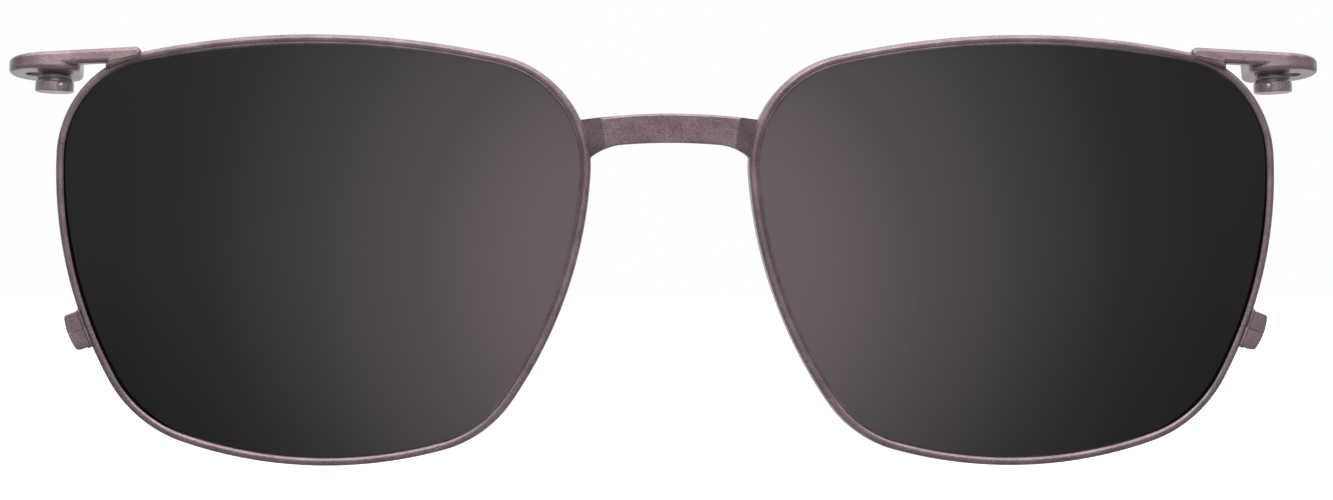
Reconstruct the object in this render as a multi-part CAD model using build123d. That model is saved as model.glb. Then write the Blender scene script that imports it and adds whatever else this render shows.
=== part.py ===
from build123d import *
import os
from math import asin, cos, hypot, radians, sin, sqrt, tan

# Sunglass clip with two rimmed lenses, a bridge and two magnet arms. Millimetres and degrees.
# X runs along the frame, Y rearwards to the wearer's face, Z up. Every piece of one side is drawn
# in a lens frame first: its origin on the lens axis, +X towards the temple.

# How the two sides stand
lens_centre_x = 35.77
wrap_angle = 6.0
base_curve_radius = 130.0

# Outline of the rim, seen along the lens axis: four corner circles and four side arcs
upper_temple_x = 16.25
upper_temple_z = 9.40
upper_temple_radius = 11.20
upper_nose_x = -15.75
upper_nose_z = 8.50
upper_nose_radius = 11.75
lower_nose_x = -9.20
lower_nose_z = -8.55
lower_nose_radius = 12.40
lower_temple_x = 10.05
lower_temple_z = -6.75
lower_temple_radius = 13.65
top_arc_radius = 88.0
nose_arc_radius = 45.5
bottom_arc_radius = 46.0
temple_arc_radius = 45.0

# Eyewire section and its groove
rim_height = 0.85
rim_depth = 1.80
rim_edge_round = 0.39
groove_depth = 0.40
groove_width = 0.90

# Lens
lens_thickness = 1.20
tongue_width = 0.82
lens_gap = 0.03

# Closing block, split across the eyewire, with its screw
block_drop = 8.00
block_length = 3.85
block_stand_out = 1.80
block_depth = 2.20
block_crown_radius = 6.50
block_corner_round = 0.38
block_edge_round = 0.14
split_gap = 0.05
screw_stand_out = 0.86
screw_shank_radius = 0.50
screw_head_radius = 0.66
screw_head_height = 0.45
screw_head_chamfer = 0.07
screw_head_recess = 0.06
screw_seat_gap = 0.01
screw_roof = 0.45
screw_drive_width = 0.22
screw_drive_depth = 0.20
screw_clearance = 0.04

# Bridge
bridge_centre_z = 12.48
bridge_centre_height = 3.02
bridge_thickness = 1.15
bridge_front_y = -1.45
bridge_half_flat = 6.98
bridge_end_angle = 38.0
bridge_fold_lean = 9.2
bridge_top_radius = 66.0
bridge_bottom_radius = 60.0
bridge_bottom_half_flat = 4.90
bridge_heel_radius = 5.80
bridge_edge_round = 0.22
bridge_round_reach = 11.90
bridge_round_least = 2.30

# Magnet arm: a bar that folds back under its nose into a foot on the eyewire
bar_nose_x = 18.68
bar_nose_z = 20.97
bar_fall_angle = 3.0
bar_height = 1.46
bar_width = 1.50
bar_proud = 0.40
bar_edge_round = 0.40
bar_overlap = 3.60
nose_round = 0.62
foot_length = 3.70
foot_height = 0.62
foot_nose_drop = 1.26
seam_width = 0.07
seam_start = 0.78
seam_nose_drop = 0.95

# Slotted ring at the outer end of the arm
ring_centre_x = 28.75
ring_length = 7.50
ring_depth = 7.90
ring_thickness = 1.76
ring_droop_angle = 10.4
ring_rise_angle = 2.0
ring_nose_corner = 2.20
ring_temple_corner = 3.74
ring_lower_round = 0.40
ring_web = 0.80
slot_length = 4.60
slot_width = 2.00
slot_offset = -0.27
slot_forward = 0.30

# Magnet carrier that slides in the slot
carrier_offset = -0.74
neck_clearance = 0.05
neck_radius = 0.95
shoulder_radius = 1.45
shoulder_height = 0.21
flange_radius = 1.85
flange_thickness = 0.28
flange_chamfer = 0.06
plinth_radius = 1.50
cup_radius = 2.00
cup_height = 1.10
cup_chamfer = 0.12
cup_tilt = 5.0
cup_drop = 0.18
pocket_depth = 0.82
magnet_thickness = 0.80
magnet_radius = 1.50
magnet_gap = 0.03
magnet_edge = 0.08
washer_radius = 1.50
washer_thickness = 0.28
washer_gap = 0.03
washer_side_gap = 0.10
head_radius = 1.25
head_height = 0.32
head_round = 0.25
pin_angle = 27.0
pin_radius = 0.28
pin_gap = 0.01
pin_dome_radius = 0.52
pin_dome_height = 0.30

# One overrun serves every cut and every trimming body
overrun = 1.00
reach = 12.0


def side_arc_centre(first, second, radius):
    """Centre of the arc that runs on from two corner circles without a kink."""
    first_x, first_z, first_radius = first
    second_x, second_z, second_radius = second
    span = hypot(second_x - first_x, second_z - first_z)
    along_x = (second_x - first_x) / span
    along_z = (second_z - first_z) / span
    near = radius - first_radius
    far = radius - second_radius
    along = (near**2 - far**2 + span**2) / (2 * span)
    across = sqrt(near**2 - along**2)
    return (first_x + along * along_x - across * along_z, first_z + along * along_z + across * along_x)


corners = [
    (upper_temple_x, upper_temple_z, upper_temple_radius),
    (upper_nose_x, upper_nose_z, upper_nose_radius),
    (lower_nose_x, lower_nose_z, lower_nose_radius),
    (lower_temple_x, lower_temple_z, lower_temple_radius),
]
side_radii = [top_arc_radius, nose_arc_radius, bottom_arc_radius, temple_arc_radius]
side_centres = []
for number, side_radius in enumerate(side_radii):
    side_centres.append(side_arc_centre(corners[number], corners[(number + 1) % 4], side_radius))


def unit_towards(start, end):
    """Unit direction from one outline point to another, in X and Z."""
    span = hypot(end[0] - start[0], end[1] - start[1])
    return ((end[0] - start[0]) / span, (end[1] - start[1]) / span)


def arc_between(centre, radius, first, second):
    """Arc about a centre from one unit direction to another, the short way round."""
    middle = unit_towards((0, 0), (first[0] + second[0], first[1] + second[1]))
    points = []
    for direction in (first, middle, second):
        points.append((centre[0] + radius * direction[0], 0, centre[1] + radius * direction[1]))
    return ThreePointArc(*points)


def rim_prism(inset):
    """The rim outline drawn in by an inset, run right through the depth of the frame."""
    edges = []
    for number in range(4):
        following = (number + 1) % 4
        start = unit_towards(side_centres[number], corners[number][:2])
        end = unit_towards(side_centres[number], corners[following][:2])
        turn = unit_towards(side_centres[following], corners[following][:2])
        edges.append(arc_between(side_centres[number], side_radii[number] - inset, start, end))
        edges.append(arc_between(corners[following][:2], corners[following][2] - inset, end, turn))
    return extrude(Face(Wire(edges)), amount=reach, dir=(0, 1, 0), both=True)


def curved_shell(thickness):
    """A spherical shell of the lens's base curve, as thick as asked."""
    outer = Sphere(base_curve_radius + thickness / 2)
    inner = Sphere(base_curve_radius - thickness / 2)
    return Pos(0, base_curve_radius, 0) * (outer - inner)


def sag(x, z):
    """How far the base curve has fallen back at a place on the lens."""
    return base_curve_radius - sqrt(base_curve_radius**2 - x**2 - z**2)


def block_plane():
    """Frame of the closing block: X out of the rim, Z along it, origin on the eyewire's outer wall."""
    centre_x, centre_z = side_centres[3]
    lean = asin((-block_drop - centre_z) / temple_arc_radius)
    place_x = centre_x + temple_arc_radius * cos(lean)
    return Plane(
        origin=(place_x, sag(place_x, block_drop), -block_drop),
        x_dir=(cos(lean), 0, sin(lean)),
        z_dir=(-sin(lean), 0, cos(lean)),
    )


def split_slice():
    """The thin slice that parts the eyewire at the closing block."""
    inward = rim_height + overrun
    width = inward + block_stand_out + overrun
    slice_box = Pos(width / 2 - inward, 0, 0) * Box(width, rim_depth + 2 * overrun, split_gap)
    return block_plane().location * slice_box


def rim_ring():
    """Rounded wire round the lens, before its groove and its split."""
    ring = (rim_prism(0) - rim_prism(rim_height)) & curved_shell(rim_depth)
    return fillet(ring.edges(), rim_edge_round)


def make_eyewire():
    """Grooved wire round the lens, cut through once at the closing block."""
    groove = rim_prism(rim_height - groove_depth) & curved_shell(groove_width)
    return rim_ring() - groove - split_slice()


def make_lens():
    """Curved lens whose thin rim sits in the groove of the eyewire."""
    body = rim_prism(rim_height + lens_gap) & curved_shell(lens_thickness)
    tongue = rim_prism(rim_height - groove_depth + lens_gap) & curved_shell(tongue_width)
    return body + tongue


def block_blank():
    """Both halves of the closing block in one, in the block's own frame."""
    half_length = block_length / 2
    root = -rim_height
    crown_fall = block_crown_radius - sqrt(block_crown_radius**2 - half_length**2)
    end_x = block_stand_out - crown_fall
    crown = ThreePointArc((end_x, -half_length), (block_stand_out, 0), (end_x, half_length))
    back = Polyline((end_x, half_length), (root, half_length), (root, -half_length), (end_x, -half_length))
    outline = make_face([crown, *back.edges()])
    outline = fillet(outline.vertices().group_by(Axis.X)[-1], block_corner_round)
    blank = extrude(outline, amount=block_depth / 2, both=True)
    for end in (0, -1):
        rim_edges = blank.edges().group_by(Axis.Z)[end].sort_by(Axis.X)
        blank = fillet(rim_edges[1:], block_edge_round)
    return Rot(90, 0, 0) * blank


def make_block_half(upper):
    """One half of the closing block, bored for the screw and brazed to the eyewire's outer wall."""
    side = 1 if upper else -1
    kept = Pos(0, 0, side * (reach / 2 + split_gap / 2)) * Box(2 * reach, 2 * reach, reach)
    half = block_blank() & kept
    bore_radius = screw_shank_radius + screw_clearance
    bore_top = block_length / 2 - screw_roof
    bore = Pos(screw_stand_out, 0, bore_top - block_length / 2) * Cylinder(bore_radius, block_length)
    seat_radius = screw_head_radius + screw_clearance
    seat_low = -block_length / 2 - overrun
    seat_height = overrun + screw_head_recess + screw_head_height + screw_seat_gap
    seat = Pos(screw_stand_out, 0, seat_low + seat_height / 2) * Cylinder(seat_radius, seat_height)
    half = half - bore
    if not upper:
        half = half - seat
    return block_plane().location * half - rim_prism(0)


def make_screw():
    """Plain-shanked closing screw with a slotted head, seated in the lower half."""
    head_low = -block_length / 2 + screw_head_recess
    head = Pos(screw_stand_out, 0, head_low + screw_head_height / 2) * Cylinder(
        screw_head_radius, screw_head_height
    )
    head = chamfer(head.edges().filter_by(GeomType.CIRCLE).group_by(Axis.Z)[0], screw_head_chamfer)
    shank_low = head_low + screw_head_height
    shank_top = block_length / 2 - screw_roof - screw_clearance
    shank_length = shank_top - shank_low
    shank = Pos(screw_stand_out, 0, shank_low + shank_length / 2) * Cylinder(
        screw_shank_radius, shank_length
    )
    drive = Pos(screw_stand_out, 0, head_low - overrun / 2 + screw_drive_depth) * Box(
        screw_drive_width, 2 * reach, overrun
    )
    return block_plane().location * (head + shank - drive)


def bar_front_y():
    """Front of the bar's top edge: its nose, which leans forward below, is proud of the eyewire."""
    rim_top_z = upper_temple_z + sqrt(upper_temple_radius**2 - (bar_nose_x - upper_temple_x) ** 2)
    nose_forward = foot_nose_drop * sin(radians(ring_droop_angle))
    return sag(bar_nose_x, rim_top_z) - rim_depth / 2 - bar_proud + nose_forward


def arm_place():
    """Frame of the whole arm, which leans rearwards: origin at the nose's top front corner."""
    return Pos(bar_nose_x, bar_front_y(), bar_nose_z) * Rot(-ring_droop_angle, 0, 0)


def bar_place():
    """Frame of the bar: X along its top, Z up across it."""
    return arm_place() * Rot(0, bar_fall_angle, 0)


def bar_profile():
    """Front view of the bar with the foot folded back under its nose."""
    length = (ring_centre_x - ring_length / 2 + bar_overlap - bar_nose_x) / cos(radians(bar_fall_angle))
    top = Line((nose_round, 0, 0), (length, 0, 0))
    outer = Line((length, 0, 0), (length, 0, -bar_height))
    under = Line((length, 0, -bar_height), (foot_length, 0, -bar_height))
    heel = Line((foot_length, 0, -bar_height), (foot_length, 0, -bar_height - foot_height))
    sole = Line(
        (foot_length, 0, -bar_height - foot_height), (nose_round, 0, -foot_nose_drop)
    )
    nose = ThreePointArc(
        (nose_round, 0, -foot_nose_drop), (0, 0, -foot_nose_drop / 2), (nose_round, 0, 0)
    )
    return Face(Wire([top, outer, under, heel, sole, nose]))


def bar_seam():
    """The narrow gap between the bar and its folded foot, open at the heel."""
    lift = bar_height - seam_nose_drop
    run = foot_length - seam_start
    over = run + overrun
    corners_of_seam = [
        (seam_start, 0, -seam_nose_drop),
        (seam_start + over, 0, -seam_nose_drop - lift * over / run),
        (seam_start + over, 0, -seam_nose_drop - lift * over / run - seam_width),
        (seam_start, 0, -seam_nose_drop - seam_width),
    ]
    face = Face(Wire(Polyline(*corners_of_seam, close=True).edges()))
    seam = extrude(face, amount=bar_width + overrun, dir=(0, 1, 0))
    return Pos(0, -overrun / 2, 0) * seam


def ring_plan():
    """Plan of the ring, rounded full at the temple end and squarer at the nose end."""
    plan = Rectangle(ring_length, ring_depth)
    plan = fillet(plan.vertices().group_by(Axis.X)[-1], ring_temple_corner)
    return fillet(plan.vertices().group_by(Axis.X)[0], ring_nose_corner)


def ring_place():
    """Frame of the ring: X along the slot, Z square to its underside, origin in its middle."""
    run = ring_centre_x - bar_nose_x
    fall = run * tan(radians(bar_fall_angle)) + ring_thickness / 2
    return arm_place() * Pos(run, ring_depth / 2, -fall) * Rot(0, -ring_rise_angle, 0)


def ring_plate():
    """The ring before its slot: a wedge whose top runs on from the bar's."""
    blank = Pos(0, 0, -ring_thickness / 2) * extrude(ring_plan(), amount=reach)
    space_above = bar_place() * Pos(0, 0, reach) * Box(4 * reach, 4 * reach, 2 * reach)
    plate = blank - ring_place().inverse() * space_above
    plate = fillet(plate.faces().sort_by(Axis.Z)[-1].edges(), bar_edge_round)
    return fillet(plate.faces().sort_by(Axis.Z)[0].edges(), ring_lower_round)


def bed_level():
    """Height of the washer's bed in the ring's frame."""
    return ring_web - ring_thickness / 2


def ring_slot():
    """What is cut from the ring: the slot, and the bed that the washer slides in."""
    slot = extrude(SlotOverall(slot_length, slot_width), amount=reach, both=True)
    bed_width = 2 * (washer_radius + washer_side_gap)
    bed_length = slot_length - 2 * (neck_radius + neck_clearance) + bed_width
    bed = extrude(SlotOverall(bed_length, bed_width), amount=reach)
    return Pos(slot_offset, -slot_forward, 0) * (slot + Pos(0, 0, bed_level()) * bed)


def make_arm():
    """Magnet arm in one piece: bar, folded foot and slotted ring, brazed to the eyewire."""
    bar = extrude(bar_profile(), amount=bar_width, dir=(0, 1, 0))
    long_edges = bar.edges().filter_by(Axis.Y, reverse=True)
    bar = bar_place() * fillet(long_edges, bar_edge_round)
    ring = ring_place() * ring_plate()
    return bar + ring - ring_place() * ring_slot() - bar_place() * bar_seam() - rim_ring()


def carrier_place():
    """Frame of the carrier: on the slot's axis, a little way from its middle towards the nose."""
    return ring_place() * Pos(slot_offset + carrier_offset, -slot_forward, 0)


def cup_place():
    """Frame of the cup: origin in the middle of its top, tilted less than the ring."""
    flange_low = -ring_thickness / 2 - neck_clearance - shoulder_height - flange_thickness
    return carrier_place() * Pos(0, 0, flange_low - cup_drop) * Rot(ring_droop_angle - cup_tilt, 0, 0)


def standing(radius, low, height):
    """A round post from a level upwards."""
    return Pos(0, 0, low + height / 2) * Cylinder(radius, height)


def pin_place():
    """Frame of the magnet's retaining pin: X out of the cup's front wall."""
    return cup_place() * Rot(0, 0, -90 - pin_angle) * Pos(cup_radius, 0, -cup_height / 2)


def make_carrier():
    """Neck, shoulder, flange, plinth and magnet cup in one piece, headed over on top of the washer."""
    neck_top = bed_level() + washer_gap + washer_thickness + washer_gap
    shoulder_low = -ring_thickness / 2 - neck_clearance - shoulder_height
    flange_low = shoulder_low - flange_thickness
    neck = standing(neck_radius, flange_low, neck_top - flange_low)
    shoulder = standing(shoulder_radius, shoulder_low, shoulder_height)
    flange = standing(flange_radius, flange_low, flange_thickness)
    flange = chamfer(flange.edges().filter_by(GeomType.CIRCLE), flange_chamfer)
    plinth = standing(plinth_radius, flange_low - cup_height, cup_height)
    head = standing(head_radius, neck_top, head_height)
    head = fillet(head.edges().filter_by(GeomType.CIRCLE).group_by(Axis.Z)[-1], head_round)
    stem = carrier_place() * (neck + shoulder + flange + plinth + head)
    cup = standing(cup_radius, -cup_height, cup_height)
    cup = chamfer(cup.edges().filter_by(GeomType.CIRCLE), cup_chamfer)
    pocket = standing(magnet_radius + magnet_gap, -cup_height - overrun, pocket_depth + overrun)
    core = standing(cup_radius - cup_chamfer, -cup_height + pocket_depth, cup_height - pocket_depth)
    stem = stem - cup_place() * standing(cup_radius * 2, -cup_height - reach, pocket_depth + reach)
    pin_hole = pin_place() * Rot(0, 90, 0) * Cylinder(pin_radius + pin_gap, cup_radius)
    return stem + cup_place() * (cup - pocket + core) - pin_hole


def make_magnet():
    """Round magnet, flush with the mouth of its cup."""
    disc = standing(magnet_radius, -cup_height, magnet_thickness)
    disc = chamfer(disc.edges().filter_by(GeomType.CIRCLE), magnet_edge)
    return cup_place() * disc


def make_pin():
    """Domed pin through the front wall of the cup, which keeps the magnet in."""
    ball_radius = (pin_dome_radius**2 + pin_dome_height**2) / (2 * pin_dome_height)
    ball = pin_place() * Pos(pin_dome_height - ball_radius, 0, 0) * Sphere(ball_radius)
    dome = ball - cup_place() * standing(cup_radius, -cup_height - overrun, cup_height + 2 * overrun)
    shank = pin_place() * Pos(-cup_radius / 2, 0, 0) * Rot(0, 90, 0) * Cylinder(pin_radius, cup_radius)
    bore = cup_place() * standing(magnet_radius + magnet_gap, -cup_height - overrun, cup_height + 2 * overrun)
    return dome + (shank - bore)


def make_washer():
    """Washer that rides on the bed in the ring's top, under the carrier's head."""
    low = bed_level() + washer_gap
    disc = standing(washer_radius, low, washer_thickness)
    hole = standing(neck_radius + washer_gap, low - overrun, washer_thickness + 2 * overrun)
    return carrier_place() * (disc - hole)


def make_bridge():
    """Arched strip whose ends bend back to the eyewires."""
    end_run = lens_centre_x / 2 - bridge_half_flat
    end_back = end_run * sin(radians(bridge_end_angle)) / cos(radians(bridge_end_angle))
    front = bridge_front_y
    back = bridge_front_y + bridge_thickness
    plan = Polyline(
        (-reach, front, 0),
        (bridge_half_flat, front, 0),
        (bridge_half_flat + end_run, front + end_back, 0),
        (bridge_half_flat + end_run, back + end_back, 0),
        (bridge_half_flat, back, 0),
        (-reach, back, 0),
        close=True,
    )
    lean = radians(bridge_fold_lean)
    half = extrude(Face(Wire(plan.edges())), amount=reach, dir=(sin(lean), 0, cos(lean)), both=True)
    half = half & Pos(reach, 0, 0) * Box(2 * reach, 4 * reach, 4 * reach)
    strip = Pos(0, 0, bridge_centre_z) * (half + mirror(half, Plane.YZ))
    top_z = bridge_centre_z + bridge_centre_height / 2
    bottom_z = bridge_centre_z - bridge_centre_height / 2
    arch = Pos(0, 0, top_z - bridge_top_radius) * Rot(90, 0, 0) * Cylinder(bridge_top_radius, 4 * reach)
    strip = (strip & arch) - bridge_arch_below(bottom_z)
    visible = strip.edges().filter_by(lambda edge: abs(edge.center().X) < bridge_round_reach)
    long_edges = visible.filter_by(lambda edge: edge.length > bridge_round_least)
    return fillet(long_edges, bridge_edge_round)


def bridge_arch_below(bottom_z):
    """The open arch under the bridge: nearly flat in the middle, with a rounded heel at each end."""
    flat_turn = asin(bridge_bottom_half_flat / bridge_bottom_radius)
    knee_x = bridge_bottom_half_flat
    knee_z = bottom_z - bridge_bottom_radius * (1 - cos(flat_turn))
    heel_x = knee_x - bridge_heel_radius * sin(flat_turn)
    heel_z = knee_z - bridge_heel_radius * cos(flat_turn)
    side = heel_x + bridge_heel_radius
    middle = ThreePointArc((-knee_x, 0, knee_z), (0, 0, bottom_z), (knee_x, 0, knee_z))
    half_turn = (radians(90) + flat_turn) / 2
    bend = (
        heel_x + bridge_heel_radius * sin(half_turn),
        0,
        heel_z + bridge_heel_radius * cos(half_turn),
    )
    bend_left = (-bend[0], 0, bend[2])
    right = ThreePointArc((knee_x, 0, knee_z), bend, (side, 0, heel_z))
    left = ThreePointArc((-side, 0, heel_z), bend_left, (-knee_x, 0, knee_z))
    low = heel_z - reach
    sides = [
        Line((side, 0, heel_z), (side, 0, low)),
        Line((side, 0, low), (-side, 0, low)),
        Line((-side, 0, low), (-side, 0, heel_z)),
    ]
    face = Face(Wire([middle, right, *sides, left]))
    return extrude(face, amount=2 * reach, dir=(0, 1, 0), both=True)


def to_left(piece):
    """Place a piece of the lens frame on the wearer's left, at +X."""
    return Pos(lens_centre_x, 0, 0) * Rot(0, 0, wrap_angle) * piece


def to_right(piece):
    """The mirror image, on the wearer's right, at -X."""
    return mirror(to_left(piece), Plane.YZ)


def all_pieces():
    """Every named piece of the clip, before the origin is moved to the middle of it."""
    one_side = {
        "eyewire": make_eyewire(),
        "lens": make_lens(),
        "upper_closing_block": make_block_half(True),
        "lower_closing_block": make_block_half(False),
        "closing_screw": make_screw(),
        "magnet_arm": make_arm(),
        "magnet_carrier": make_carrier(),
        "magnet": make_magnet(),
        "magnet_pin": make_pin(),
        "carrier_washer": make_washer(),
    }
    pieces = {}
    for name, piece in one_side.items():
        pieces["left_" + name] = to_left(piece)
        pieces["right_" + name] = to_right(piece)
    trim = rim_prism(0)
    pieces["bridge"] = make_bridge() - to_left(trim) - to_right(trim)
    return pieces


def say(name, vector):
    """Print a place or direction for the record."""
    print(name, round(vector.X, 4), round(vector.Y, 4), round(vector.Z, 4))


def main():
    """Write each piece, with the origin in the middle of the whole clip."""
    os.makedirs("parts", exist_ok=True)
    pieces = all_pieces()
    middle = Compound(children=[Compound(p.wrapped) for p in pieces.values()]).bounding_box().center()
    shift = Pos(-middle.X, -middle.Y, -middle.Z)
    for name, piece in pieces.items():
        export_step(shift * piece, "parts/" + name + ".step")
    left = shift * Pos(lens_centre_x, 0, 0) * Rot(0, 0, wrap_angle)
    slide = left * carrier_place()
    mouth = left * cup_place() * Pos(0, 0, -cup_height)
    turn = left * block_plane().location * Pos(screw_stand_out, 0, 0)
    say("slide origin", Vector(slide.position))
    say("slide axis", (slide * Pos(1, 0, 0)).position - slide.position)
    say("magnet face", Vector(mouth.position))
    say("magnet normal", (mouth * Pos(0, 0, -1)).position - mouth.position)
    say("screw place", Vector(turn.position))
    say("screw axis", (turn * Pos(0, 0, 1)).position - turn.position)
    say("shift", Vector(-middle.X, -middle.Y, -middle.Z))


if __name__ == "__main__":
    main()
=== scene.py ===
import logging
import math
from collections.abc import Callable, Iterable
from dataclasses import dataclass
from enum import Enum
from typing import Any

import bmesh
import bpy
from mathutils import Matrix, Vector
from mathutils.bvhtree import BVHTree


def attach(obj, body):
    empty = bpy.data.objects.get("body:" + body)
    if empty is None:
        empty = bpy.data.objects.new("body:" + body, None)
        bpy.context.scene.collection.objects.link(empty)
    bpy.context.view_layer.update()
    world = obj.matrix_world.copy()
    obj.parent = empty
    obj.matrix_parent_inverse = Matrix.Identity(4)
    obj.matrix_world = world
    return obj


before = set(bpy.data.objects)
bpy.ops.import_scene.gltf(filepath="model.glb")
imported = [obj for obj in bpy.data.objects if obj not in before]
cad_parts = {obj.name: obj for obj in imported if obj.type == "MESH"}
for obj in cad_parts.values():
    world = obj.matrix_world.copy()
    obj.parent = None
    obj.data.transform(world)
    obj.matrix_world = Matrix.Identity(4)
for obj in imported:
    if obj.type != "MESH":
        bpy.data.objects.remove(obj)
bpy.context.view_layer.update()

log = logging.getLogger("clip")

MM = 0.001
# Points nearer than this are one point
SAME_POINT = 0.001 * MM
WHITE = (1.0, 1.0, 1.0, 1.0)
# Nearly all values of a noise texture lie between these
NOISE_LOW, NOISE_HIGH = 0.3, 0.7
BEAD_RESOLUTION = 3
# An edge of a bead that is sharper than this is the rim of its flat end
BEAD_END_DEGREES = 60.0

Point = tuple[float, float, float]
Run = list[Vector]


def linear(hex_colour: str) -> tuple[float, float, float, float]:
    """Turn an sRGB hex colour into a linear one.

    Args:
        hex_colour: Six hex digits, with or without a leading hash.

    Returns:
        Linear red, green and blue, with an alpha of 1.
    """
    digits = hex_colour.lstrip("#")
    channels = [int(digits[place:place + 2], 16) / 255 for place in (0, 2, 4)]
    red, green, blue = [
        value / 12.92 if value <= 0.04045 else ((value + 0.055) / 1.055) ** 2.4 for value in channels
    ]
    return (red, green, blue, 1.0)


def add_node(
    tree: bpy.types.NodeTree,
    kind: str,
    settings: dict[str, Any] | None = None,
    inputs: dict[str | int, Any] | None = None,
) -> bpy.types.Node:
    """Add one node with its settings, its input values and its links.

    Args:
        tree: Node tree that the node goes into.
        kind: Blender's name for the node's type.
        settings: Attributes of the node, by name. A colour ramp takes its stops as "stops": places from 0
            to 1, each with its hex colour, at least two of them.
        inputs: Sockets by name or number, each with a plain value or with the socket that feeds it.

    Returns:
        The new node.
    """
    node = tree.nodes.new(kind)
    for name, value in (settings or {}).items():
        if name != "stops":
            setattr(node, name, value)
            continue
        elements = node.color_ramp.elements
        while len(elements) < len(value):
            elements.new(0.5)
        for element, (place, hex_colour) in zip(elements, value):
            element.position = place
            element.color = linear(hex_colour)
    for name, value in (inputs or {}).items():
        if isinstance(value, bpy.types.NodeSocket):
            tree.links.new(value, node.inputs[name])
        else:
            node.inputs[name].default_value = value
    return node


def noise_scale(grain_mm: float) -> float:
    """Scale of a noise texture whose dark and light grains are each this wide."""
    return 1 / (grain_mm * MM * 2)


def eased(value: float, start: float, end: float) -> float:
    """Share from 0 at start to 1 at end, with soft ends.

    Args:
        value: Where to read it.
        start: Value at which it is 0.
        end: Value at which it is 1, above or below start.

    Returns:
        The share.
    """
    share = min(max((value - start) / (end - start), 0.0), 1.0)
    return share * share * (3 - 2 * share)


class Side(Enum):
    """The two sides of the clip, as the wearer names them."""

    LEFT = "left"
    RIGHT = "right"

    @property
    def hand(self) -> int:
        """Sign of this side's X."""
        return 1 if self is Side.LEFT else -1

    def node(self, piece: str) -> str:
        """Name of this side's copy of a piece."""
        return f"{self.value}_{piece}"


@dataclass(frozen=True)
class Finish:
    """A surface finish, whose patterns lie still on the piece."""

    name: str

    def build(self) -> bpy.types.Material:
        """Make the material."""
        material = bpy.data.materials.new(self.name)
        material.use_nodes = True
        tree = material.node_tree
        tree.nodes.clear()
        place = add_node(tree, "ShaderNodeTexCoord").outputs["Object"]
        add_node(tree, "ShaderNodeOutputMaterial", inputs={"Surface": self.surface(tree, place)})
        return material

    def surface(self, tree: bpy.types.NodeTree, place: bpy.types.NodeSocket) -> bpy.types.NodeSocket:
        """Add the finish's own nodes.

        Args:
            tree: Node tree that they go into.
            place: Socket with the point on the piece, in metres.

        Returns:
            Socket with the surface.
        """
        raise NotImplementedError


@dataclass(frozen=True)
class AntiqueLacquer(Finish):
    """Translucent mauve-brown lacquer over satin metal.

    It is sprayed thinly and rubbed back, so the eye gets a soft sheen, a fine pepper-like speckle and, over
    wider areas, a faint cloudiness.
    """

    dark: str = "#5e4d51"
    middle: str = "#746266"
    light: str = "#8a787c"
    contrast: float = 0.14
    metallic: float = 0.6
    roughness: float = 0.34
    smoother: float = 0.05
    rougher: float = 0.07
    coat: float = 0.3
    coat_roughness: float = 0.12
    speckle_mm: float = 0.07
    speckle_share: float = 0.65
    cloud_mm: float = 1.2
    grain_mm: float = 0.06
    grain_depth_mm: float = 0.01
    bump_strength: float = 0.12

    def surface(self, tree: bpy.types.NodeTree, place: bpy.types.NodeSocket) -> bpy.types.NodeSocket:
        """Add the lacquer's nodes: speckle, cloudiness, sheen and grain."""
        # A grain of the speckle is 0.07 mm wide, a little less than a pixel of the photograph
        speckle = add_node(
            tree, "ShaderNodeTexNoise",
            inputs={
                "Vector": place, "Scale": noise_scale(self.speckle_mm), "Detail": 2.0, "Roughness": 0.6,
            },
        )
        # The cloudiness goes from light to dark in 1.2 mm
        cloud = add_node(
            tree, "ShaderNodeTexNoise",
            inputs={"Vector": place, "Scale": noise_scale(self.cloud_mm), "Detail": 2.0, "Roughness": 0.5},
        )
        clouded = add_node(
            tree, "ShaderNodeMath", {"operation": "MULTIPLY"},
            {0: cloud.outputs["Fac"], 1: 1 - self.speckle_share},
        )
        shade = add_node(
            tree, "ShaderNodeMath", {"operation": "MULTIPLY_ADD"},
            {0: speckle.outputs["Fac"], 1: self.speckle_share, 2: clouded.outputs[0]},
        )
        shades = [(0.5 - self.contrast, self.dark), (0.5, self.middle), (0.5 + self.contrast, self.light)]
        tint = add_node(tree, "ShaderNodeValToRGB", {"stops": shades}, {"Fac": shade.outputs[0]})
        roughness = add_node(
            tree, "ShaderNodeMapRange",
            inputs={
                "Value": speckle.outputs["Fac"], "From Min": NOISE_LOW, "From Max": NOISE_HIGH,
                "To Min": self.roughness - self.smoother, "To Max": self.roughness + self.rougher,
            },
        )
        # The rubbed surface's grain is 0.06 mm wide, so it only softens the sheen
        grain = add_node(
            tree, "ShaderNodeTexNoise",
            inputs={"Vector": place, "Scale": noise_scale(self.grain_mm), "Detail": 2.0},
        )
        bump = add_node(
            tree, "ShaderNodeBump",
            inputs={
                "Height": grain.outputs["Fac"], "Strength": self.bump_strength,
                "Distance": self.grain_depth_mm * MM,
            },
        )
        shader = add_node(
            tree, "ShaderNodeBsdfPrincipled",
            inputs={
                "Base Color": tint.outputs["Color"], "Metallic": self.metallic,
                "Roughness": roughness.outputs["Result"], "Normal": bump.outputs["Normal"],
                "Coat Weight": self.coat, "Coat Roughness": self.coat_roughness,
            },
        )
        return shader.outputs["BSDF"]


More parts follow.
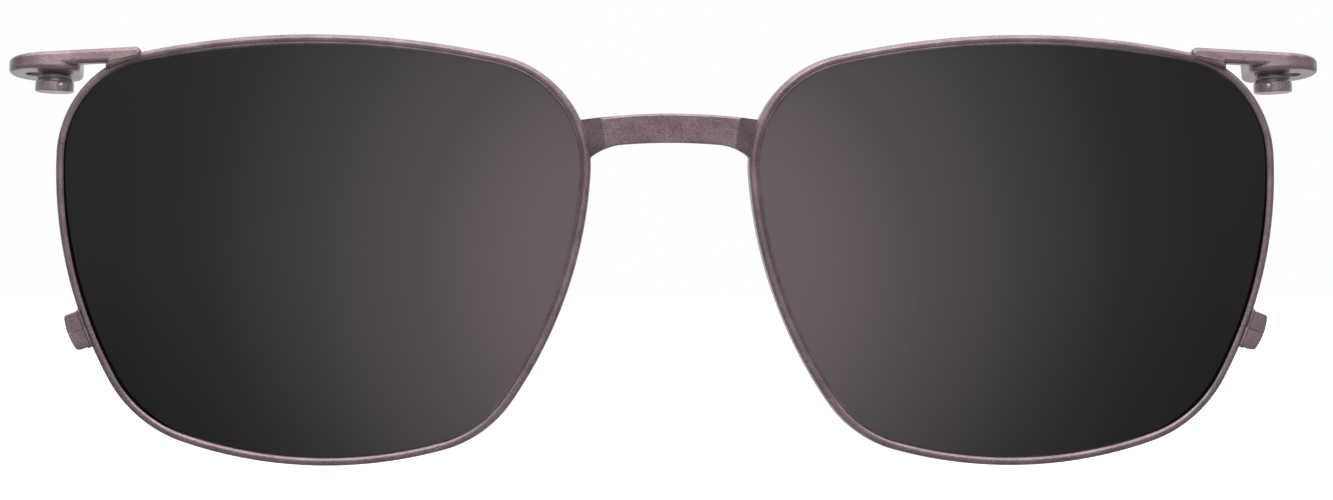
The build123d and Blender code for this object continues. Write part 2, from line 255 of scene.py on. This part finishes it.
@dataclass(frozen=True)
class GlowPaintedLens(Finish):
    """Polished dark lens of cast plastic, tinted grey-brown, with a painted glow.

    Its colour is darkest at the temples and grows lighter towards the middle of the clip: painted light that
    gives an even, nearly black glass a soft brown glow on both sides of the nose.
    """

    glow_z_mm: float = -2.6
    near_mm: float = 10.0
    far_mm: float = 60.0
    # The lens's colours, each with its distance in millimetres from the middle of the clip: the dark tint at
    # the temples, and a painted glow that lightens it towards the nose
    tint_and_painted_glow: tuple[tuple[float, str], ...] = (
        (10.0, "#4f4647"), (17.0, "#4b4243"), (25.0, "#3b3638"), (35.0, "#2b2829"), (45.0, "#1b1919"),
        (55.0, "#0f0f10"),
    )
    roughness: float = 0.04
    refraction: float = 1.5

    def surface(self, tree: bpy.types.NodeTree, place: bpy.types.NodeSocket) -> bpy.types.NodeSocket:
        """Add the lens's nodes: the tint with its painted glow by distance from the middle of the clip, and a
        hard polish.
        """
        from_middle = add_node(
            tree, "ShaderNodeVectorMath", {"operation": "SUBTRACT"},
            {0: place, 1: (0.0, 0.0, self.glow_z_mm * MM)},
        )
        flat = add_node(
            tree, "ShaderNodeVectorMath", {"operation": "MULTIPLY"},
            {0: from_middle.outputs[0], 1: (1.0, 0.0, 1.0)},
        )
        distance = add_node(tree, "ShaderNodeVectorMath", {"operation": "LENGTH"}, {0: flat.outputs[0]})
        share = add_node(
            tree, "ShaderNodeMapRange",
            inputs={
                "Value": distance.outputs["Value"], "From Min": self.near_mm * MM,
                "From Max": self.far_mm * MM,
            },
        )
        reach_mm = self.far_mm - self.near_mm
        stops = [((away_mm - self.near_mm) / reach_mm, colour) for away_mm, colour in self.tint_and_painted_glow]
        # Painted glow: the lens lightens from its dark tint at the temples towards the nose
        tint = add_node(tree, "ShaderNodeValToRGB", {"stops": stops}, {"Fac": share.outputs["Result"]})
        # No stop shows as a line in the glass
        tint.color_ramp.interpolation = "CARDINAL"
        shader = add_node(
            tree, "ShaderNodeBsdfPrincipled",
            inputs={
                "Base Color": tint.outputs["Color"], "Metallic": 0.0, "Roughness": self.roughness,
                "IOR": self.refraction, "Transmission Weight": 0.0,
            },
        )
        return shader.outputs["BSDF"]


@dataclass(frozen=True)
class PaintedShadeEdge(Finish):
    """Painted shade: a thin black line at the front edge of the dark lens, standing for the shade in the
    rim's groove.
    """

    dark: str = "#050404"
    light: str = "#0b0a09"
    roughness: float = 0.75
    shade_noise_mm: float = 0.05

    def surface(self, tree: bpy.types.NodeTree, place: bpy.types.NodeSocket) -> bpy.types.NodeSocket:
        """Add the nodes of the painted shade: fine noise on a matt black."""
        # The noise is 0.05 mm wide, half a pixel of the photograph, and only breaks up the painted shade
        shade_noise = add_node(
            tree, "ShaderNodeTexNoise",
            inputs={"Vector": place, "Scale": noise_scale(self.shade_noise_mm), "Detail": 2.0},
        )
        tint = add_node(
            tree, "ShaderNodeValToRGB", {"stops": [(NOISE_LOW, self.dark), (NOISE_HIGH, self.light)]},
            {"Fac": shade_noise.outputs["Fac"]},
        )
        shader = add_node(
            tree, "ShaderNodeBsdfPrincipled",
            inputs={
                "Base Color": tint.outputs["Color"], "Roughness": self.roughness, "Specular IOR Level": 0.0,
            },
        )
        return shader.outputs["BSDF"]


@dataclass(frozen=True)
class BrightMetal(Finish):
    """Bare metal of a small fitting, polished or plated, with fine turning marks that dull it in places."""

    colour: str
    roughness: float
    dulled: str = "#8d8888"
    smoother: float = 0.05
    rougher: float = 0.1
    mark_mm: float = 0.05

    def surface(self, tree: bpy.types.NodeTree, place: bpy.types.NodeSocket) -> bpy.types.NodeSocket:
        """Add the metal's nodes: turning marks in its colour and its sheen."""
        # The turning marks are 0.05 mm wide, half a pixel, so they only dull the shine
        marks = add_node(
            tree, "ShaderNodeTexNoise",
            inputs={"Vector": place, "Scale": noise_scale(self.mark_mm), "Detail": 3.0},
        )
        tint = add_node(
            tree, "ShaderNodeValToRGB", {"stops": [(NOISE_LOW, self.dulled), (NOISE_HIGH, self.colour)]},
            {"Fac": marks.outputs["Fac"]},
        )
        roughness = add_node(
            tree, "ShaderNodeMapRange",
            inputs={
                "Value": marks.outputs["Fac"], "To Min": self.roughness - self.smoother,
                "To Max": self.roughness + self.rougher,
            },
        )
        shader = add_node(
            tree, "ShaderNodeBsdfPrincipled",
            inputs={
                "Base Color": tint.outputs["Color"], "Metallic": 1.0,
                "Roughness": roughness.outputs["Result"],
            },
        )
        return shader.outputs["BSDF"]


def dress(node: str, material: bpy.types.Material) -> str:
    """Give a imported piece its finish.

    Args:
        node: Name of the piece.
        material: Finish that every slot of it takes.

    Returns:
        The piece's name.
    """
    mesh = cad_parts[node].data
    mesh.materials.clear()
    mesh.materials.append(material)
    return node


def merged_copy(node: str) -> bmesh.types.BMesh:
    """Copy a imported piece's mesh with its loose triangles joined.

    Args:
        node: Name of the piece.

    Returns:
        The copy, which the caller frees.
    """
    copy = bmesh.new()
    copy.from_mesh(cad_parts[node].data)
    bmesh.ops.remove_doubles(copy, verts=copy.verts, dist=SAME_POINT)
    copy.normal_update()
    copy.edges.index_update()
    return copy


def runs_along(edges: Iterable[bmesh.types.BMEdge]) -> list[Run]:
    """Join edges end to end.

    Args:
        edges: Edges of one mesh, in any order.

    Returns:
        The runs, each a list of points. A closed run ends with its first point.
    """
    waiting = {edge.index: edge for edge in sorted(edges, key=lambda edge: edge.index)}
    runs = []
    while waiting:
        _, first = waiting.popitem()
        run = [first.verts[0], first.verts[1]]
        for _ in range(2):
            following = first
            while following is not None:
                following = next((edge for edge in run[-1].link_edges if edge.index in waiting), None)
                if following is not None:
                    del waiting[following.index]
                    run.append(following.other_vert(run[-1]))
            run.reverse()
        runs.append([vert.co.copy() for vert in run])
    return runs


def even(radius_mm: float) -> Callable[[Vector], float]:
    """Radius of a bead that is equally thick all along."""
    return lambda place: radius_mm


def lay_bead(
    name: str, runs: list[Run], radius_mm: Callable[[Vector], float], material: bpy.types.Material,
) -> str:
    """Lay a round bead along some runs of points, and let it ride with the frame.

    Args:
        name: Name of the new piece.
        runs: The runs, each a list of points in metres.
        radius_mm: Gives the bead's radius at a point, in millimetres.
        material: Finish of the bead.

    Returns:
        The piece's name.
    """
    path = bpy.data.curves.new(name + "_path", "CURVE")
    path.dimensions = "3D"
    path.bevel_depth = MM
    path.bevel_resolution = BEAD_RESOLUTION
    path.use_fill_caps = True
    for run in runs:
        closed = (run[0] - run[-1]).length < SAME_POINT
        points = run[:-1] if closed else run
        spline = path.splines.new("POLY")
        spline.points.add(len(points) - 1)
        spline.use_cyclic_u = closed
        for spot, place in zip(spline.points, points):
            spot.co = (*place, 1.0)
            spot.radius = radius_mm(place)
    drawn = bpy.data.objects.new(name + "_path", path)
    bpy.context.scene.collection.objects.link(drawn)
    bpy.context.view_layer.update()
    mesh = bpy.data.meshes.new_from_object(drawn.evaluated_get(bpy.context.evaluated_depsgraph_get()))
    bpy.data.objects.remove(drawn)
    mesh.materials.clear()
    mesh.materials.append(material)
    mesh.shade_smooth()
    # The flat ends stay flat, or they catch the light
    mesh.set_sharp_from_angle(angle=math.radians(BEAD_END_DEGREES))
    piece = bpy.data.objects.new(name, mesh)
    bpy.context.scene.collection.objects.link(piece)
    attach(piece, "frame")
    return name


@dataclass
class FrontFrame:
    """Eyewires, bridge, closing blocks and magnet arms: everything that is brazed together."""

    lacquer: AntiqueLacquer = AntiqueLacquer("antique_lacquer")
    # How far from the eyewire an edge may lie to count as its seat
    seat_reach_mm: float = 0.04
    block_reach_mm: float = 0.45
    sharp_degrees: float = 18.0
    braze_mm: float = 0.07
    block_braze_mm: float = 0.16
    # The left closing screw, and the split's line from it, away from the rim
    screw_place_mm: Point = (60.636, -0.309, -8.306)
    split_outward: Point = (0.934, 0.0, -0.357)
    split_from_mm: float = -1.7
    split_to_mm: float = -0.75
    split_skin_mm: float = 0.09

    def build(self) -> list[str]:
        """Dress the brazed pieces, run braze into their corners and close the split with lacquer.

        Returns:
            Names of the pieces.
        """
        material = self.lacquer.build()
        pieces = [dress("bridge", material)]
        for side in Side:
            for piece in ("eyewire", "upper_closing_block", "lower_closing_block", "magnet_arm"):
                pieces.append(dress(side.node(piece), material))
            seats = (
                (side.node("magnet_arm"), self.seat_reach_mm, self.braze_mm),
                ("bridge", self.seat_reach_mm, self.braze_mm),
                (side.node("upper_closing_block"), self.block_reach_mm, self.block_braze_mm),
                (side.node("lower_closing_block"), self.block_reach_mm, self.block_braze_mm),
            )
            beads = [
                (f"braze_{number}", self.seat(node, side.node("eyewire"), reach_mm), radius_mm)
                for number, (node, reach_mm, radius_mm) in enumerate(seats, 1)
            ]
            beads.append(("split_skin", [self.split_run(side)], self.split_skin_mm))
            for name, runs, radius_mm in beads:
                if runs:
                    bead = lay_bead(side.node(name), runs, even(radius_mm), material)
                    pieces.append(bead)
        return pieces

    def split_run(self, side: Side) -> Run:
        """Run of points between the closing blocks, from the rim towards the screw.

        Args:
            side: Which rim.

        Returns:
            Its two points.
        """
        points = [
            (Vector(self.screw_place_mm) + Vector(self.split_outward) * reach_mm) * MM
            for reach_mm in (self.split_from_mm, self.split_to_mm)
        ]
        return [Vector((side.hand * point.x, point.y, point.z)) for point in points]

    def seat(self, node: str, eyewire: str, reach_mm: float) -> list[Run]:
        """Find where a brazed piece meets the eyewire.

        Args:
            node: Name of the brazed piece.
            eyewire: Name of the eyewire.
            reach_mm: How near its sharp edges have to be.

        Returns:
            Runs of points along the corner.
        """
        wire = merged_copy(eyewire)
        near = BVHTree.FromBMesh(wire)
        wire.free()
        piece = merged_copy(node)
        runs = runs_along(
            edge for edge in piece.edges
            if len(edge.link_faces) == 2
            and edge.calc_face_angle() > math.radians(self.sharp_degrees)
            and all(near.find_nearest(vert.co, reach_mm * MM)[0] is not None for vert in edge.verts)
        )
        piece.free()
        return runs


@dataclass
class Lenses:
    """The two dark lenses, a black line of painted shade inside each rim, and the low lip of the rim that
    holds each at the top and beside the nose.
    """

    tint: GlowPaintedLens = GlowPaintedLens("glow_painted_lens")
    edge_shade: PaintedShadeEdge = PaintedShadeEdge("ground_lens_edge")
    # The lip's lacquer is the frame's lacquer darkened: painted shade on the lip's inner side
    lacquer: AntiqueLacquer = AntiqueLacquer("lip_lacquer_painted_shade", dark="#4a3e41", middle="#5a4c4f", light="#6c5f62")
    least_mm: float = 0.02
    # The black line of painted shade starts at the side of the lens and is full size along the lower temple
    edge_mm: float = 0.40
    edge_starts_x_mm: float = 49.0
    edge_full_x_mm: float = 55.0
    edge_full_z_mm: float = -1.0
    edge_thin_z_mm: float = 9.0
    edge_ends_z_mm: float = 16.0
    edge_thin_share: float = 0.35
    # The lip is full size beside the nose and along the top
    lip_mm: float = 0.27
    lip_full_x_mm: float = 46.0
    lip_ends_x_mm: float = 58.0
    lip_full_z_mm: float = -14.0
    lip_ends_z_mm: float = -19.0
    # Share of its radius by which a bead lies below the edge, so that only a low strip shows
    sunk_share: float = 0.7
    corner_degrees: float = 40.0
    front_normal_y: float = -0.8

    def build(self) -> list[str]:
        """Dress both lenses and line their front edges with painted shade and with the lip.

        Returns:
            Names of the pieces.
        """
        tint = self.tint.build()
        # Linings: a black bead of painted shade inside the rim, and the lip in a darkened lacquer that is
        # painted shade
        linings = (
            ("lens_edge", self.edge_radius_mm, self.edge_shade.build(), "lens_tint"),
            ("rim_lip", self.lip_radius_mm, self.lacquer.build(), "frame_metal"),
        )
        pieces = []
        for side in Side:
            pieces.append(dress(side.node("lens"), tint))
            for name, radius_mm, material, slot in linings:
                runs = self.front_edge(side, radius_mm)
                pieces.append(lay_bead(side.node(name), runs, radius_mm, material))
        return pieces

    def edge_radius_mm(self, place: Vector) -> float:
        """Radius of the bead of painted shade inside the rim, which shows along the lower temple."""
        across, height = abs(place.x) / MM, place.z / MM
        outward = eased(across, self.edge_starts_x_mm, self.edge_full_x_mm)
        low = eased(height, self.edge_thin_z_mm, self.edge_full_z_mm)
        width = self.edge_thin_share + (1 - self.edge_thin_share) * low
        return self.least_mm + self.edge_mm * outward * width * eased(
            height, self.edge_ends_z_mm, self.edge_thin_z_mm
        )

    def lip_radius_mm(self, place: Vector) -> float:
        """Radius of the bead that stands for the lip, which fades out at the temple and below."""
        inward = eased(abs(place.x) / MM, self.lip_ends_x_mm, self.lip_full_x_mm)
        return self.least_mm + self.lip_mm * inward * eased(
            place.z / MM, self.lip_ends_z_mm, self.lip_full_z_mm
        )

    def front_edge(self, side: Side, radius_mm: Callable[[Vector], float]) -> list[Run]:
        """Find the outline of a lens's front face, sunk for a bead.

        Args:
            side: Which lens.
            radius_mm: Gives the bead's radius at a point, in millimetres.

        Returns:
            The one closed run of its points.
        """
        lens = merged_copy(side.node("lens"))
        outlines = runs_along(
            edge for edge in lens.edges
            if len(edge.link_faces) == 2
            and edge.calc_face_angle_signed() > math.radians(self.corner_degrees)
            and min(face.normal.y for face in edge.link_faces) < self.front_normal_y
        )
        lens.free()
        foremost = min(outlines, key=lambda run: sum(place.y for place in run) / len(run))
        return [[place + Vector((0, self.sunk_share * radius_mm(place) * MM, 0)) for place in foremost]]


@dataclass
class Carriers:
    """The magnet carriers under the arms, with their washers, magnets and pins, and the closing screws."""

    # The carriers' lacquer is the frame's lacquer lightened: painted light, for they hang in the shade of the
    # arms' rings
    lacquer: AntiqueLacquer = AntiqueLacquer(
        "carrier_lacquer_painted_light", dark="#7a696c", middle="#8e7d80", light="#a39295", roughness=0.32
    )
    nickel: BrightMetal = BrightMetal("magnet_nickel", "#b0aaa7", 0.34)
    steel: BrightMetal = BrightMetal("screw_steel", "#8f8688", 0.34)

    def build(self) -> list[str]:
        """Dress the moving pieces.

        Returns:
            Names of the pieces.
        """
        lacquer = self.lacquer.build()
        finishes = {
            "magnet_carrier": lacquer,
            "carrier_washer": lacquer,
            "magnet": self.nickel.build(),
            "magnet_pin": lacquer,
            "closing_screw": self.steel.build(),
        }
        return [
            dress(side.node(piece), material) for side in Side for piece, material in finishes.items()
        ]


@dataclass(frozen=True)
class PaleRoom:
    """Brightness of the room by direction: lighter above and behind than in front, darker at the sides."""

    ahead: float = 0.56
    sides: float = 0.24
    behind: float = 0.5
    overhead: float = 0.6
    level_from: float = 0.1
    overhead_from: float = 0.38
    full_at: float = 0.8

    def brightness(self, tree: bpy.types.NodeTree, direction: bpy.types.NodeSocket) -> bpy.types.NodeSocket:
        """Add the nodes that say how bright the room is in one direction.

        Args:
            tree: Node tree that the nodes go into.
            direction: Socket with the direction, one long.

        Returns:
            Socket with the brightness.
        """
        parts = add_node(tree, "ShaderNodeSeparateXYZ", inputs={"Vector": direction})
        aside = add_node(tree, "ShaderNodeMath", {"operation": "ABSOLUTE"}, {0: parts.outputs["X"]})
        rows = (
            (aside.outputs[0], self.level_from, self.ahead, self.sides),
            (parts.outputs["Y"], self.level_from, 0.0, self.behind),
            (parts.outputs["Z"], self.overhead_from, 0.0, self.overhead),
        )
        terms = [
            add_node(
                tree, "ShaderNodeMapRange", {"interpolation_type": "SMOOTHSTEP"},
                {"Value": turn, "From Min": start, "From Max": self.full_at, "To Min": low, "To Max": high},
            ).outputs["Result"]
            for turn, start, low, high in rows
        ]
        level = add_node(tree, "ShaderNodeMath", {"operation": "ADD"}, {0: terms[0], 1: terms[1]})
        whole = add_node(tree, "ShaderNodeMath", {"operation": "ADD"}, {0: level.outputs[0], 1: terms[2]})
        return whole.outputs[0]


def shown_to_camera(
    tree: bpy.types.NodeTree, shown: bpy.types.NodeSocket, hidden: bpy.types.NodeSocket
) -> bpy.types.NodeSocket:
    """Show one shader to the camera, also through something clear, and another to all else.

    Args:
        tree: Node tree that the nodes go into.
        shown: Shader that the camera sees.
        hidden: Shader that lights the object and is mirrored in it.

    Returns:
        Socket with both.
    """
    path = add_node(tree, "ShaderNodeLightPath")
    seen = add_node(
        tree, "ShaderNodeMath", {"operation": "MAXIMUM"},
        {0: path.outputs["Is Camera Ray"], 1: path.outputs["Is Transmission Ray"]},
    )
    mix = add_node(tree, "ShaderNodeMixShader", inputs={0: seen.outputs[0], 1: hidden, 2: shown})
    return mix.outputs[0]


@dataclass(frozen=True)
class WhitePaper(Finish):
    """Matt white background paper. It shows white to the eye, and keeps a soft shadow."""

    room: PaleRoom = PaleRoom()
    colour: str = "#d8d8d8"
    glow: float = 0.62

    def surface(self, tree: bpy.types.NodeTree, place: bpy.types.NodeSocket) -> bpy.types.NodeSocket:
        """Add the paper's nodes, for the camera, for reflections and for everything else."""
        diffuse = add_node(tree, "ShaderNodeBsdfDiffuse", inputs={"Color": linear(self.colour)})
        # White to the camera, with enough left to the lamps for a soft shadow
        glow = add_node(tree, "ShaderNodeEmission", inputs={"Color": WHITE, "Strength": self.glow})
        both = add_node(tree, "ShaderNodeAddShader", inputs={0: diffuse.outputs[0], 1: glow.outputs[0]})
        # In reflections it is as bright as the room above it, so no horizon shows in the lenses
        outward = add_node(tree, "ShaderNodeVectorMath", {"operation": "NORMALIZE"}, {0: place})
        level = self.room.brightness(tree, outward.outputs[0])
        mirrored = add_node(tree, "ShaderNodeEmission", inputs={"Color": WHITE, "Strength": level})
        path = add_node(tree, "ShaderNodeLightPath")
        plain = add_node(
            tree, "ShaderNodeMixShader",
            inputs={0: path.outputs["Is Glossy Ray"], 1: diffuse.outputs[0], 2: mirrored.outputs[0]},
        )
        return shown_to_camera(tree, both.outputs[0], plain.outputs[0])


@dataclass(frozen=True)
class SoftLamp:
    """Soft rectangular lamp, placed and measured in metres, with its power in watts."""

    name: str
    place: Point
    aim: Point
    width: float
    height: float
    power: float

    def hang(self) -> None:
        """Put the lamp into the scene."""
        data = bpy.data.lights.new(self.name, "AREA")
        data.shape = "RECTANGLE"
        data.size = self.width
        data.size_y = self.height
        data.energy = self.power
        lamp = bpy.data.objects.new(self.name, data)
        bpy.context.scene.collection.objects.link(lamp)
        lamp.location = self.place
        lamp.rotation_euler = (Vector(self.aim) - Vector(self.place)).to_track_quat("-Z", "Y").to_euler()


@dataclass
class Studio:
    """White paper under the clip, a pale room, two wide lamps and two small ones, and the camera."""

    paper: WhitePaper = WhitePaper("white_floor")
    room: PaleRoom = PaleRoom()
    lamps: tuple[SoftLamp, ...] = (
        SoftLamp("overhead", (0.0, -0.1, 0.6), (0.0, 0.0, 0.0), 1.2, 0.6, 5.0),
        SoftLamp("above_camera", (0.0, -0.9, 0.7), (0.0, 0.0, 0.0), 1.0, 0.4, 7.0),
        SoftLamp("left_highlight", (0.64, -0.22, 0.4), (0.05, 0.0, 0.02), 0.08, 0.08, 0.4),
        SoftLamp("right_highlight", (-0.64, -0.22, 0.4), (-0.05, 0.0, 0.02), 0.08, 0.08, 0.4),
    )
    floor_z: float = -40 * MM
    floor_half: float = 12.0
    yaw_degrees: float = 3.45
    distance: float = 1.5
    pixels_per_mm: float = 9.712
    picture_width: float = 1333.0
    sensor_mm: float = 36.0
    sight: float = 100.0

    def build(self) -> list[str]:
        """Set up the floor, the room, the lamps and the camera.

        Returns:
            Name of the floor, the only thing here with a mesh.
        """
        floor = self.lay_floor()
        self.paint_room()
        for lamp in self.lamps:
            lamp.hang()
        self.stand_camera()
        return [floor]

    def lay_floor(self) -> str:
        """Lay the paper a little below the clip, and return its name."""
        bpy.ops.mesh.primitive_plane_add(size=2 * self.floor_half, location=(0, 0, self.floor_z))
        floor = bpy.context.object
        floor.name = "floor"
        floor.data.materials.append(self.paper.build())
        return floor.name

    def paint_room(self) -> None:
        """Make the world white to the camera, and as bright as the room to everything else."""
        world = bpy.data.worlds.new("pale_room")
        bpy.context.scene.world = world
        world.use_nodes = True
        tree = world.node_tree
        tree.nodes.clear()
        direction = add_node(tree, "ShaderNodeTexCoord").outputs["Generated"]
        level = self.room.brightness(tree, direction)
        room = add_node(tree, "ShaderNodeBackground", inputs={"Color": WHITE, "Strength": level})
        white = add_node(tree, "ShaderNodeBackground", inputs={"Color": WHITE, "Strength": 1.0})
        both = shown_to_camera(tree, white.outputs[0], room.outputs[0])
        add_node(tree, "ShaderNodeOutputWorld", inputs={"Surface": both})

    def stand_camera(self) -> None:
        """Long lens, level with the middle of the clip, a few degrees towards the wearer's right."""
        data = bpy.data.cameras.new("camera")
        data.sensor_width = self.sensor_mm
        data.lens = self.pixels_per_mm / MM * self.distance / self.picture_width * self.sensor_mm
        data.dof.use_dof = False
        data.clip_end = self.sight
        camera = bpy.data.objects.new("camera", data)
        bpy.context.scene.collection.objects.link(camera)
        yaw = math.radians(self.yaw_degrees)
        camera.location = (-self.distance * math.sin(yaw), -self.distance * math.cos(yaw), 0.0)
        camera.rotation_euler = (-Vector(camera.location)).to_track_quat("-Z", "Y").to_euler()
        bpy.context.scene.camera = camera


def main() -> None:
    """Dress the clip, set up the studio and log every piece."""
    bpy.context.scene.view_settings.view_transform = "Standard"
    for part in (FrontFrame(), Lenses(), Carriers(), Studio()):
        for piece in part.build():
            log.info("%s: %s", type(part).__name__, piece)


if __name__ == "__main__":
    main()
